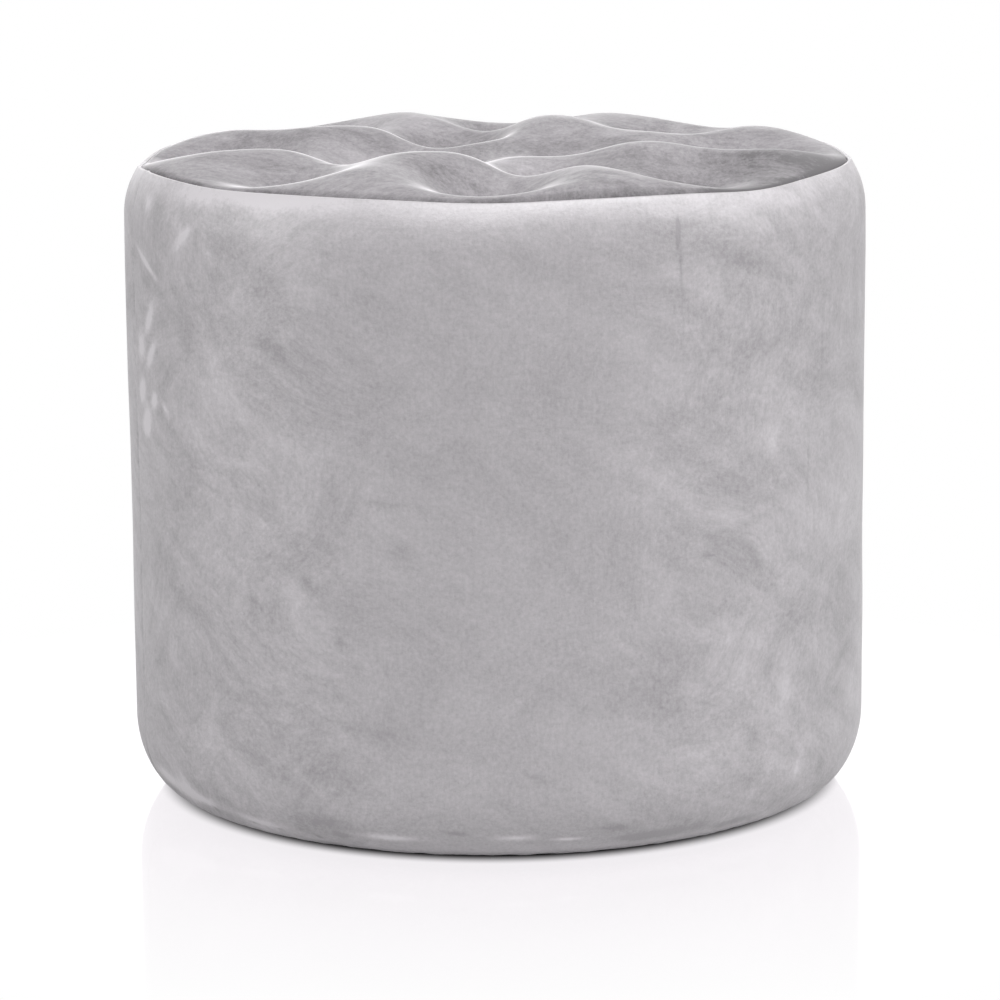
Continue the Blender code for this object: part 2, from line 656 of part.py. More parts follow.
def make_twine(top):
    """Twine from a button's socket down through foam, deck and washer to its knot and cut tail."""
    knot_top = WASHER_BOTTOM - GAP
    knot_middle = knot_top - KNOT_HEIGHT / 2
    profile = [(0, top), (TWINE_RADIUS, top)]
    knot_size = (KNOT_RADIUS - TWINE_RADIUS, KNOT_HEIGHT / 2)
    profile += ellipse_arc((TWINE_RADIUS, knot_middle), knot_size, math.pi / 2, -math.pi / 2, KNOT_STEPS)
    tail_end = knot_top - KNOT_HEIGHT - TWINE_TAIL
    profile += [(TWINE_RADIUS, tail_end), (0, tail_end)]
    return revolve(profile, BORE_SEGMENTS, closed=False)


def make_tufts():
    button_mesh = make_mesh("tuft_button", make_button(), VELVET)
    washer_mesh = make_mesh("tuft_washer", make_washer(), PLASTIC)
    for index, (x, y) in enumerate(TUFTS):
        number = f"{index + 1:02d}"
        back = top_height(x, y) + GAP
        twine = make_twine(back + BUTTON_SOCKET_DEPTH - GAP)
        place(f"tuft_button_{number}", button_mesh, (x, y, back))
        place(f"tuft_washer_{number}", washer_mesh, (x, y, WASHER_BOTTOM))
        place(f"tuft_twine_{number}", make_mesh("tuft_twine", twine, TWINE), (x, y, 0))


clear_scene()
ASSEMBLY = bpy.data.objects.new("pouf", None)
bpy.context.collection.objects.link(ASSEMBLY)
VELVET = make_material("grey_velvet", (0.42, 0.41, 0.42), 0.85)
FOAM = make_material("upholstery_foam", (0.85, 0.82, 0.70), 0.95)
BOARD = make_material("fibreboard", (0.55, 0.40, 0.25), 0.7)
PINE = make_material("pine", (0.72, 0.54, 0.33), 0.6)
HARDBOARD = make_material("hardboard", (0.36, 0.23, 0.13), 0.6)
STEEL = make_material("zinc_plated_steel", (0.70, 0.70, 0.68), 0.35, 1.0)
PLASTIC = make_material("black_plastic", (0.03, 0.03, 0.03), 0.45)
TWINE = make_material("waxed_twine", (0.80, 0.76, 0.66), 0.8)
LINING = make_material("black_lining", (0.02, 0.02, 0.02), 0.95)

make_side_cover()
make_top_cover()
make_seat_foam()
make_side_foam()
make_drum_wall()
make_base_panel()
make_deck_panel()
make_posts()
make_screws()
make_dust_cover()
make_glides()
make_tufts()
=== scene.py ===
"""Looks of a round tufted velvet pouf: its soft pieces and finishes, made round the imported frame."""

import math

import bmesh
import bpy
from mathutils import Matrix, Vector, noise


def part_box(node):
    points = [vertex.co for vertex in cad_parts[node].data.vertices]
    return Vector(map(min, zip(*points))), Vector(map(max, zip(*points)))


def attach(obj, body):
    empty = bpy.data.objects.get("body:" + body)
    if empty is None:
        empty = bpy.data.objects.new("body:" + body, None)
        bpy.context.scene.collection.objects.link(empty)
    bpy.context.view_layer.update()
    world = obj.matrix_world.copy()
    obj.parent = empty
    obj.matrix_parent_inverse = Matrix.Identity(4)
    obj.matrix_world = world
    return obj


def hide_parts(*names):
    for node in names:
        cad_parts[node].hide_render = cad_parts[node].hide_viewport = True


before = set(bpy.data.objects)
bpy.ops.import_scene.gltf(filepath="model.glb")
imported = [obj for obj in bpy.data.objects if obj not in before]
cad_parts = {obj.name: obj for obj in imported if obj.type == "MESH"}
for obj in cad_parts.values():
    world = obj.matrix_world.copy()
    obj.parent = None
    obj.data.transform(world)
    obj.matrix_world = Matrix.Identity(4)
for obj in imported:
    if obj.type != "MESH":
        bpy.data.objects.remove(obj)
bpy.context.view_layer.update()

BODY = "root"
MM = 0.001

# Sizes read from the frame
SIDE_LOW, SIDE_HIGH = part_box("side_cover")
BODY_RADIUS = SIDE_HIGH.x
COVER_BOTTOM = SIDE_LOW.z
SEAM_HEIGHT = SIDE_HIGH.z
TOP_LOW, TOP_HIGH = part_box("top_cover")
TOP_RADIUS = TOP_HIGH.x
ALLOWANCE_BOTTOM = TOP_LOW.z
PAD_LOW, PAD_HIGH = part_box("seat_foam")
WRAP_LOW, WRAP_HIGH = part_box("side_foam")
LINING_LOW, LINING_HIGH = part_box("dust_cover")

# Velvet covers and the side's foam wrap; angles are in radians unless a comment says otherwise
VELVET = 1.1 * MM
GAP = 0.3 * MM
SIDE_SEAM_ANGLE = math.radians(196.5)
WRAP_THICK = 10 * MM
HEM_WIDTH = 30 * MM
BASE_EDGE_RUN = 24 * MM
BASE_EDGE_RISE = 38 * MM
BASE_EDGE_RADIUS = BODY_RADIUS - BASE_EDGE_RUN
SHOULDER_RUN = 41 * MM
SHOULDER_RISE = 45 * MM
# Degrees of the shoulder's ellipse that show before the seam
SHOULDER_SWEEP = 35.5
SHOULDER_LEVEL = SEAM_HEIGHT - 26.8 * MM
SHOULDER_BLEND = 28 * MM
PANEL_ROLL = 1.2 * MM
PANEL_REACH = TOP_RADIUS - PANEL_ROLL
SEAM_RADIUS = TOP_RADIUS + GAP

# Unevenness of the stretched side: soft waves (scale and height), the closing seam's puckers and groove,
# and pleats round the base edge
SIDE_WAVES = ((9, 0.45 * MM), (24, 0.25 * MM))
PUCKER, PUCKER_WIDTH, PUCKER_SCALE = 0.3 * MM, 9 * MM, 90
GROOVE, GROOVE_WIDTH = 0.9 * MM, 1.3 * MM
PLEAT, PLEAT_SCALE = 0.5 * MM, 22

# Tufted top: a crown, pulled down in a wide soft dip and a narrow well at each button
CROWN_RISE = 18 * MM
CROWN_POWER = 6.2
CROWN_LEAN = Vector((0.003, -0.009))
TUFT_SINK = 24 * MM
TUFT_SPREAD = 38 * MM
TUFT_POWER = 2.4
WELL_SINK = 11 * MM
WELL_SPREAD = 13 * MM
RIM_HOLD_POWER = 20
LEAN_HOLD_POWER = 14
BUTTON_FLOOR = 8 * MM
# For each button in the order of their names: shares of the sink and of the spread, and the seam's dip in mm
TUFT_PULLS = (
    (0.80, 1.20, 0), (1.10, 0.85, 0), (1.35, 1.30, 0), (1.00, 0.90, 0),
    (1.20, 1.15, 1.6), (0.70, 1.10, 2.2), (0.80, 1.05, 3.2), (0.90, 1.05, 2.0),
    (1.35, 0.95, 3.6), (0.70, 1.10, 1.0), (0.95, 1.05, 1.3), (0.85, 1.20, 2.4),
)
SEAM_DIP_WIDTH = math.radians(11)
SEAM_TILT = 0.5 * MM
SEAM_TILT_ANGLE = math.radians(220)
RIM_WAVE_RUN = 22 * MM
PUFF_RISE = 1.6 * MM
PUFF_ANGLE = math.radians(286)
PUFF_SPREAD = math.radians(16)
PUFF_ALL_ROUND = 0.4 * MM
PUFF_RUN = 26 * MM

# Trial of the top panel as cloth, held near its buttons and its rim
TRIAL_RINGS, TRIAL_SPOKES = 60, 160
TRIAL_QUALITY = 5
TRIAL_MASS = 0.1
TRIAL_PRESSURE = 4
SWELL_FRAMES = 20
SWELL_CAP = 0.8 * MM
BUTTON_HOLD, BUTTON_FREE = 9 * MM, 15 * MM
RIM_HOLD, RIM_FREE = 3 * MM, 10 * MM

# Fasteners and lining
BUTTON_RIM_SHARE = 0.3
BUTTON_EDGE_SHARE = 0.86
BUTTON_GATHERS, GATHER_DEPTH = 16, 0.02
GLIDE_EDGE, GLIDE_THICK = 1.2 * MM, 3 * MM
NAIL_RADIUS = 1.25 * MM
NAIL_POINT = 2 * MM
LINING_THICK = 0.3 * MM
LINING_TURN = 18 * MM
LINING_WAVE, LINING_WAVE_SCALE = 0.7 * MM, 22
STAPLE_COUNT = 26
STAPLE_SIZE = (10 * MM, 0.9 * MM, 0.5 * MM)
STAPLE_INSET = 9 * MM


def node_names(start):
    """Names of the CAD nodes that start so, in order."""
    return sorted(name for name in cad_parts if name.startswith(start))


def middle(name):
    """Middle of a CAD node's box."""
    low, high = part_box(name)
    return (low + high) / 2


TUFTS = [
    (middle(name).xy, TUFT_SINK * sink, TUFT_SPREAD * spread, dip * MM)
    for name, (sink, spread, dip) in zip(node_names("tuft_button"), TUFT_PULLS)
]


def clamp_step(low, high, value):
    """Zero below low, one above high, and a smooth rise between."""
    share = min(max((value - low) / (high - low), 0), 1)
    return share * share * (3 - 2 * share)


def turn_between(angle, other):
    """How far round an angle is from another, within half a turn either way."""
    return (angle - other + math.pi) % math.tau - math.pi


def seam_wave(angle):
    """The rim's seam tilts a little, and dips where an outer tuft pulls on it."""
    wave = SEAM_TILT * (1 + math.cos(angle - SEAM_TILT_ANGLE))
    for tuft, _, _, dip in TUFTS:
        turn = turn_between(angle, math.atan2(tuft.y, tuft.x))
        wave -= dip * math.exp(-((turn / SEAM_DIP_WIDTH) ** 2))
    return wave


def rim_puff(angle, inset):
    """Just inside the seam, the panel puffs up a little, most at the front."""
    turn = turn_between(angle, PUFF_ANGLE)
    rise = PUFF_RISE * math.exp(-((turn / PUFF_SPREAD) ** 2)) + PUFF_ALL_ROUND
    return rise * clamp_step(0, 2.5 * MM, inset) * (1 - clamp_step(3 * MM, PUFF_RUN, inset))


def top_height(x, y):
    """Height of the velvet top: a crown that leans a little, less the pull of every tuft."""
    radius = math.hypot(x, y)
    reach = min(radius / TOP_RADIUS, 1)
    pull = 0
    for tuft, sink, spread, _ in TUFTS:
        distance = max(math.hypot(x - tuft.x, y - tuft.y), BUTTON_FLOOR)
        pull += sink * math.exp(-((distance / spread) ** TUFT_POWER))
        pull += WELL_SINK * math.exp(-((distance / WELL_SPREAD) ** 2))
    crown = CROWN_RISE * (1 - reach ** CROWN_POWER)
    lean = CROWN_LEAN.dot((x, y)) * (1 - reach ** LEAN_HOLD_POWER)
    near_rim = clamp_step(TOP_RADIUS - RIM_WAVE_RUN, TOP_RADIUS, radius)
    height = SEAM_HEIGHT + crown + lean - pull * (1 - reach ** RIM_HOLD_POWER)
    angle = math.atan2(y, x)
    return height + near_rim * seam_wave(angle) + rim_puff(angle, TOP_RADIUS - radius)


def arc(centre, size, start, end, steps):
    """Points (radius, height) along part of an ellipse, sized by its half-axes, angles in degrees."""
    points = []
    for step in range(steps + 1):
        angle = math.radians(start + (end - start) * step / steps)
        points.append((centre[0] + size[0] * math.cos(angle), centre[1] + size[1] * math.sin(angle)))
    return points


def line(start, end, steps):
    """Points (radius, height) along a straight run, its end left out."""
    return [
        (start[0] + (end[0] - start[0]) * step / steps, start[1] + (end[1] - start[1]) * step / steps)
        for step in range(steps)
    ]


def revolve(profile, sections, start=0, closed=False):
    """Turn a (radius, height) profile round Z, in sections of (degrees, steps).

    The rings are laid one by one: a spin orders its corners anew on each run, and the cloth would follow.
    """
    angles = []
    for degrees, steps in sections:
        step = math.radians(degrees) / steps
        angles += [start + step * index for index in range(steps)]
        start += math.radians(degrees)
    shape = bmesh.new()
    rings = []
    for angle in angles:
        cosine, sine = math.cos(angle), math.sin(angle)
        ring = [shape.verts.new((radius * cosine, radius * sine, height)) for radius, height in profile]
        rings.append(ring)
    rungs = list(zip(range(len(profile) - 1), range(1, len(profile))))
    if closed:
        rungs.append((len(profile) - 1, 0))
    for near, far in zip(rings, rings[1:] + rings[:1]):
        for low, high in rungs:
            shape.faces.new((near[low], far[low], far[high], near[high]))
    bmesh.ops.remove_doubles(shape, verts=shape.verts, dist=0.01 * MM)
    bmesh.ops.recalc_face_normals(shape, faces=shape.faces)
    return shape


def make_piece(name, shape, material, sharp=math.radians(40)):
    """Make a shape a piece of the pouf, with its finish, on the pouf's body, smooth but for its sharp edges.
    """
    mesh = bpy.data.meshes.new(name)
    shape.to_mesh(mesh)
    shape.free()
    mesh.shade_smooth()
    mesh.set_sharp_from_angle(angle=sharp)
    mesh.materials.append(material)
    piece = bpy.data.objects.new(name, mesh)
    bpy.context.collection.objects.link(piece)
    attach(piece, BODY)
    return piece


def thicken(piece, thickness):
    """Give an open face of cloth its thickness, on its inner side."""
    solidify = piece.modifiers.new("cloth_thickness", "SOLIDIFY")
    solidify.thickness = thickness
    solidify.offset = -1
    solidify.use_even_offset = True


def new_finish(name, colour, roughness, metallic=0.0):
    """A material whose shader has its plain colour, roughness and metallic set."""
    material = bpy.data.materials.new(name)
    material.use_nodes = True
    shader = material.node_tree.nodes["Principled BSDF"]
    shader.inputs["Base Color"].default_value = (*colour, 1)
    shader.inputs["Roughness"].default_value = roughness
    shader.inputs["Metallic"].default_value = metallic
    return material


def add(material, kind, inputs=None, **settings):
    """Add a node to a material or the world; an input gets a value, or another node's output to link."""
    tree = material.node_tree
    node = tree.nodes.new(kind)
    for name, value in settings.items():
        setattr(node, name, value)
    for name, value in (inputs or {}).items():
        if isinstance(value, bpy.types.NodeSocket):
            tree.links.new(value, node.inputs[name])
        else:
            node.inputs[name].default_value = value
    return node


def coordinates(material, kind="Object"):
    return add(material, "ShaderNodeTexCoord").outputs[kind]


def stretched(material, vector, scale, turn=(0, 0, 0)):
    """Turn a pattern, then scale it along each axis."""
    turned = add(material, "ShaderNodeMapping", {"Vector": vector, "Rotation": turn}).outputs[0]
    return add(material, "ShaderNodeMapping", {"Vector": turned, "Scale": scale}).outputs[0]


def noise_value(material, vector, scale, detail=2, roughness=0.5, distortion=0):
    settings = {"Scale": scale, "Detail": detail, "Roughness": roughness, "Distortion": distortion}
    return add(material, "ShaderNodeTexNoise", {"Vector": vector, **settings}).outputs["Fac"]


def math_node(material, operation, first, second=0.5, third=0.5):
    return add(material, "ShaderNodeMath", {0: first, 1: second, 2: third}, operation=operation).outputs[0]


def spread(material, value, low, high, out_low=0.0, out_high=1.0):
    """Map a value from one range to another, held at the ends."""
    return add(
        material, "ShaderNodeMapRange",
        {"Value": value, "From Min": low, "From Max": high, "To Min": out_low, "To Max": out_high},
    ).outputs["Result"]


def blend_colours(material, share, first, second):
    """Blend from one colour to another by a share; each is plain or another node's output."""
    node = add(material, "ShaderNodeMix", data_type="RGBA")
    tree = material.node_tree
    tree.links.new(share, node.inputs["Factor"])
    for socket, colour in ((node.inputs[6], first), (node.inputs[7], second)):
        if isinstance(colour, bpy.types.NodeSocket):
            tree.links.new(colour, socket)
        else:
            socket.default_value = (*colour, 1)
    return node.outputs[2]


def set_colour(material, colour):
    shader = material.node_tree.nodes["Principled BSDF"]
    material.node_tree.links.new(colour, shader.inputs["Base Color"])


def set_bump(material, height, strength, distance):
    shader = material.node_tree.nodes["Principled BSDF"]
    bump = add(material, "ShaderNodeBump", {"Height": height, "Strength": strength, "Distance": distance})
    material.node_tree.links.new(bump.outputs[0], shader.inputs["Normal"])


# Lighter and darker places: pressed and brushed places on the nap, and painted highlight and shade where
# the headings below say so. Each gives its middle (mm), half length, half width, tilt in degrees, and how
# much lighter or darker. On the side the middle is the way round from the closing seam and the height.
SIDE_NAP_AND_LIGHT_MARKS = (
    # Light strokes and a few darker ones beside the closing seam: painted highlight and shade on its
    # wrinkles
    (26, 299, 29, 3.4, -24, 2.2), (70, 318, 24, 6, 40, 1.3), (96, 299, 15, 14, -78, -0.6),
    (26, 288, 14, 8, -62, -0.3), (28, 270, 18, 7, 56, 2.4), (30, 252, 18, 6, 51, 2.2),
    (14, 254, 14, 10, 77, 2.0), (21, 214, 14, 11, 65, 2.6), (33, 227, 9, 8, 58, 2.3),
    (14, 230, 14, 9, 65, 2.2), (26, 333, 12, 9, -42, 1.3), (47, 225, 11, 4, -38, 1.2),
    # Left half
    (113, 205, 25, 5.5, -1, 0.4), (89, 190, 21, 4, -22, -0.4), (127, 176, 18, 5.3, -21, 0.3),
    (197, 192, 25, 5, -6, -0.4), (166, 167, 17, 10.5, -23, -0.35), (208, 168, 12, 10, -35, -0.35),
    (155, 148, 10, 7, -35, -0.4), (99, 100, 30, 8.5, -41, -0.4), (127, 111, 17, 6, -31, -0.45),
    (120, 135, 14, 4, -36, -0.3), (173, 118, 9, 7.5, -69, -0.45), (183, 106, 14, 5, -24, -0.3),
    (180, 74, 61, 8, -10, -0.4), (120, 53, 22, 8, -17, -0.35), (65, 68, 14, 5, -26, 0.3),
    (159, 37, 14, 7, -38, 0.25), (278, 49, 16, 5, -26, -0.35),
    # Right half, with a long upright crease painted as a line of shade
    (352, 327, 19, 2.2, 84, -1.3), (353, 308, 24, 2.5, 94, -0.7), (389, 308, 26, 11, -16, -0.4),
    (414, 213, 19, 13, 83, 0.7), (382, 121, 15, 10, -48, 0.35), (424, 187, 21, 12, -4, -0.45),
    (459, 257, 63, 3.3, 88, -0.3), (445, 197, 46, 2.5, 88, -0.3), (393, 172, 39, 5.3, 7, -0.35),
    (487, 84, 36, 9, 18, -0.45), (424, 80, 31, 16, 81, 0.45), (400, 60, 16, 14.5, 82, -0.4),
    (358, 90, 16, 11.5, -62, 0.35), (333, 73, 32, 8, -21, 0.3), (400, 280, 16, 15, -44, 0.3),
    (379, 252, 17, 12, -46, 0.3), (483, 154, 27, 15, 89, 0.35),
    # Round the base edge: painted highlight where the lamps catch the rounded edge, and darker dashes
    (52, 14, 20, 24, 0, 1.4), (30, 18, 30, 13, -11, 2.2), (68, 12, 30, 10, -6, 1.9),
    (114, 6, 32, 7, -7, 1.4), (78, 6, 6, 3.5, -50, -1.5), (108, 3, 8, 2.4, -10, -1.0),
    (127, 2, 7, 2.4, -5, -0.9), (153, 1, 6, 3, -40, -1.0), (158, 17, 28, 10, -3, -0.7),
    (169, 7, 9, 5.5, 0, -1.0), (197, 9, 30, 6, 0, 1.6), (234, 16, 11, 4, 0, -0.7),
    (265, 12, 20, 5, 0, 1.4), (292, 9, 15, 3, -2, 1.7), (318, 16, 20, 9, 0, -0.7),
    (345, 5, 50, 10, 2, -1.3), (394, 3, 30, 8, 3, -1.3), (437, 34, 20, 9, 85, 0.8),
    (462, 28, 12, 11, 0, -0.5),
    # Under the seam: painted highlight along the shoulder, darker in one place
    (125, 348, 100, 13, 0, 0.8), (75, 344, 42, 12, 0, 0.5), (335, 347, 45, 9, 0, -0.4),
    (432, 338, 36, 14, 0, 0.4),
)
# On the top: painted shade in the crease in front of the seam and on the hills at the back and front right,
# the right of the top darker, and a few lighter patches
TOP_NAP_AND_SHADE_MARKS = (
    (165, -50, 120, 85, 65, -1.3), (62, -184, 55, 8, 19, -1.6), (128, -134, 56, 20, 44, -1.4),
    (-55, 76, 34, 22, 0, -1.0), (-110, -90, 50, 30, 20, 0.3), (-5, -48, 55, 26, 10, 0.6),
    (76, 96, 62, 34, -8, -1.6), (-179, 12, 26, 8, -61, 1.3),
)
# Painted shade: each tuft's pit is a little darker
PIT_SHADE_MARKS = tuple((*(tuft / MM), 26, 16, 0, -0.45) for tuft, _, _, _ in TUFTS)
# Bands of painted light and shade: from one height (mm) up the side, or distance from the middle of the top,
# to another, and how much lighter or darker. On the side a painted highlight under the seam, painted shade
# towards the base edge and lighter again at its lowest; on the top painted shade in the crease at the rim
SIDE_LIGHT_BANDS = ((333, 349, 1.1), (30, 12, -0.3), (6, -4, 0.6))
TOP_SHADE_BANDS = ((185.5, 188.5, -0.5),)
BAND_WANDER = 6 * MM
MARK_LIFT = 1.8
# The nap is smoothest here along its pattern's first axis, and more mottled on either side
SMOOTH_PLACE = 258 * MM
SMOOTH_END, MOTTLED_START = 50 * MM, 110 * MM
NAP_DEPTH = 0.6 * MM
SHEEN_TINT = (0.97, 0.96, 0.98, 1)


def mark_nap_and_light(material, place, nap_and_light_mark, nap_and_light):
    """Lighten or darken the colour in one soft-edged, tilted oval, used for nap marks and for painted
    highlight and shade.
    """
    along, up, half_length, half_width, tilt, strength = nap_and_light_mark
    oval = add(
        material, "ShaderNodeMapping",
        {
            "Vector": place, "Location": (along * MM, up * MM, 0), "Rotation": (0, 0, math.radians(tilt)),
            "Scale": (half_length * MM, half_width * MM, 1),
        },
        vector_type="TEXTURE",
    ).outputs[0]
    glow = add(material, "ShaderNodeTexGradient", {"Vector": oval}, gradient_type="QUADRATIC_SPHERE")
    return math_node(material, "MULTIPLY_ADD", glow.outputs["Fac"], strength * MARK_LIFT, nap_and_light)


def painted_light_band(material, height, wander, light_band, nap_and_light):
    """Lighten or darken the colour from one height towards another, with an uneven edge: painted highlight
    and shade.
    """
    start, end, strength = light_band
    uneven = math_node(material, "MULTIPLY_ADD", wander, BAND_WANDER, height)
    middle_wander = BAND_WANDER / 2
    share = spread(material, uneven, start * MM + middle_wander, end * MM + middle_wander)
    return math_node(material, "MULTIPLY_ADD", share, strength, nap_and_light)


def nap_layer(material, nap_and_light, pattern, strength):
    """Add a pattern to the nap, as much lighter as darker."""
    lower = math_node(material, "SUBTRACT", nap_and_light, strength / 2)
    return math_node(material, "MULTIPLY_ADD", pattern, strength, lower)


def from_middle(material, place):
    """Distance from the pouf's axis."""
    flat = add(material, "ShaderNodeVectorMath", {0: place, 1: (1, 1, 0)}, operation="MULTIPLY")
    length = add(material, "ShaderNodeVectorMath", {0: flat.outputs[0]}, operation="LENGTH")
    return length.outputs["Value"]


def painted_pile_sheen(material, place, colour):
    """Painted sheen: lighten the colour where the pile is seen edge-on, softer on the hills at the back and
    the right.
    """
    parts = add(material, "ShaderNodeSeparateXYZ", {"Vector": place}).outputs
    edge_on = add(material, "ShaderNodeLayerWeight", {"Blend": 0.5}).outputs["Facing"]
    painted_sheen = math_node(material, "POWER", spread(material, edge_on, 0.80, 0.98), 2.0)
    backward = math_node(material, "MULTIPLY_ADD", parts["X"], 0.25, parts["Y"])
    rightward = math_node(material, "MULTIPLY_ADD", parts["Y"], -0.5, parts["X"])
    less_back = spread(material, backward, 50 * MM, 120 * MM, 1.0, 0.1)
    less_right = spread(material, rightward, 50 * MM, 150 * MM, 1.0, 0.15)
    painted_sheen = math_node(material, "MULTIPLY", painted_sheen, less_back)
    painted_sheen = math_node(material, "MULTIPLY", painted_sheen, less_right)
    return blend_colours(material, painted_sheen, colour, PAINTED_SHEEN_TONE)


def velvet(name, on_top, tones, fibre_scale, grain, bump, gloss, nap_and_light_marks, light_bands):
    """Velvet: a mottled nap with brushed streaks, fibre lines and pressed marks, painted highlight and
    shade, a painted sheen on the top and a soft shader sheen.
    """
    material = new_finish(name, tones[1], 0.42)
    place = coordinates(material, "Object" if on_top else "UV")
    parts = add(material, "ShaderNodeSeparateXYZ", {"Vector": place}).outputs
    mottle = noise_value(material, place, 14, 6, 0.9, 0.6)
    slanted = stretched(material, place, (14, 60, 40), (0, 0, math.radians(30)))
    brushed = noise_value(material, slanted, 1, 3, 0.6, 0.4)
    fibre = noise_value(material, stretched(material, place, fibre_scale), 1, 3, 0.6)
    pile = noise_value(material, place, 380, 3, 0.8)
    aside = math_node(material, "SUBTRACT", parts["X"], SMOOTH_PLACE)
    aside = math_node(material, "ABSOLUTE", aside)
    worn = spread(material, aside, SMOOTH_END, MOTTLED_START, 0.8, 1.75)
    nap_and_light = nap_layer(material, 0, mottle, 2.6)
    nap_and_light = nap_layer(material, nap_and_light, brushed, 1.0)
    nap_and_light = math_node(material, "MULTIPLY", nap_and_light, worn)
    nap_and_light = nap_layer(material, nap_and_light, fibre, 0.7)
    nap_and_light = nap_layer(material, nap_and_light, pile, 2.1)
    nap_and_light = math_node(material, "MULTIPLY", nap_and_light, grain)
    # Marks: nap marks, and painted highlight and shade
    for nap_and_light_mark in nap_and_light_marks:
        nap_and_light = mark_nap_and_light(material, place, nap_and_light_mark, nap_and_light)
    reach = from_middle(material, place) if on_top else parts["Y"]
    # Bands: painted highlight and shade
    for light_band in light_bands:
        nap_and_light = painted_light_band(material, reach, mottle, light_band, nap_and_light)
    colour = blend_colours(material, spread(material, nap_and_light, -1, 1.6), *tones)
    # On the top a painted sheen lightens the colour where the pile is seen edge-on
    if on_top:
        colour = painted_pile_sheen(material, place, colour)
    set_colour(material, colour)
    set_bump(material, math_node(material, "MULTIPLY_ADD", fibre, 0.6, pile), bump, NAP_DEPTH)
    shader = material.node_tree.nodes["Principled BSDF"]
    shader.inputs["Specular IOR Level"].default_value = gloss
    shader.inputs["Sheen Weight"].default_value = 0.3
    shader.inputs["Sheen Roughness"].default_value = 0.15
    shader.inputs["Sheen Tint"].default_value = SHEEN_TINT
    return material


def foam_finish():
    """Open-cell foam: cream, with small dark cells."""
    material = new_finish("cream_foam", (0.86, 0.83, 0.72), 0.95)
    place = coordinates(material)
    cells = add(material, "ShaderNodeTexVoronoi", {"Vector": place, "Scale": 900.0}).outputs["Distance"]
    tone = noise_value(material, place, 30, 4, 0.6)
    shade = math_node(material, "MULTIPLY_ADD", cells, -0.5, tone)
    set_colour(material, blend_colours(material, shade, (0.90, 0.87, 0.76), (0.74, 0.69, 0.55)))
    set_bump(material, cells, 0.6, 0.4 * MM)
    return material


def fibreboard_finish():
    """Medium-density board: fine fibres in a mottled tan."""
    material = new_finish("fibreboard", (0.56, 0.41, 0.26), 0.75)
    place = coordinates(material)
    fibres = noise_value(material, stretched(material, place, (260, 900, 500)), 1, 5, 0.7)
    tone = noise_value(material, place, 12, 4, 0.6)
    shade = math_node(material, "MULTIPLY_ADD", fibres, 0.6, math_node(material, "MULTIPLY", tone, 0.4))
    set_colour(material, blend_colours(material, shade, (0.42, 0.29, 0.17), (0.66, 0.50, 0.33)))
    set_bump(material, fibres, 0.15, 0.2 * MM)
    return material


def pine_finish():
    """Planed pine: growth rings drawn out along the post."""
    material = new_finish("planed_pine", (0.74, 0.57, 0.36), 0.6)
    place = stretched(material, coordinates(material), (60, 60, 4))
    rings = add(
        material, "ShaderNodeTexWave",
        {"Vector": place, "Scale": 1.2, "Distortion": 5.0, "Detail": 3.0, "Detail Scale": 1.2},
        wave_type="RINGS", rings_direction="Z",
    ).outputs["Fac"]
    pores = noise_value(material, stretched(material, coordinates(material), (900, 900, 40)), 1, 3, 0.6)
    shade = math_node(material, "MULTIPLY_ADD", pores, 0.3, math_node(material, "MULTIPLY", rings, 0.7))
    set_colour(material, blend_colours(material, shade, (0.80, 0.63, 0.41), (0.60, 0.41, 0.22)))
    set_bump(material, shade, 0.12, 0.2 * MM)
    return material


def hardboard_finish():
    """Hardboard: dark brown, with short pressed fibres."""
    material = new_finish("hardboard", (0.36, 0.23, 0.13), 0.55)
    place = coordinates(material)
    fibres = noise_value(material, stretched(material, place, (500, 500, 160)), 1, 5, 0.7)
    set_colour(material, blend_colours(material, fibres, (0.25, 0.15, 0.08), (0.46, 0.31, 0.18)))
    set_bump(material, fibres, 0.2, 0.2 * MM)
    return material


def steel_finish():
    """Zinc-plated steel, its shine uneven."""
    material = new_finish("zinc_plated_steel", (0.70, 0.70, 0.68), 0.35, 1.0)
    place = coordinates(material)
    tone = noise_value(material, place, 400, 4, 0.7)
    set_colour(material, blend_colours(material, tone, (0.58, 0.58, 0.56), (0.80, 0.80, 0.77)))
    shader = material.node_tree.nodes["Principled BSDF"]
    material.node_tree.links.new(spread(material, tone, 0.3, 0.7, 0.25, 0.45), shader.inputs["Roughness"])
    return material


def plastic_finish():
    """Black moulded plastic with a fine grain and faint scuffs."""
    material = new_finish("black_plastic", (0.03, 0.03, 0.03), 0.45)
    place = coordinates(material)
    grain = noise_value(material, place, 1200, 3, 0.6)
    scuffs = noise_value(material, place, 90, 5, 0.7)
    set_colour(material, blend_colours(material, scuffs, (0.022, 0.022, 0.023), (0.050, 0.050, 0.052)))
    set_bump(material, grain, 0.2, 0.1 * MM)
    return material


def twine_finish():
    """Waxed twine: strands laid in a slant round the cord."""
    material = new_finish("waxed_twine", (0.80, 0.76, 0.66), 0.6)
    place = stretched(material, coordinates(material), (1, 1, 0.6), (math.radians(35), 0, 0))
    wave = {"Vector": place, "Scale": 420.0, "Distortion": 1.0}
    strands = add(material, "ShaderNodeTexWave", wave, bands_direction="Z").outputs["Fac"]
    set_colour(material, blend_colours(material, strands, (0.62, 0.57, 0.46), (0.86, 0.82, 0.72)))
    set_bump(material, strands, 0.4, 0.2 * MM)
    return material


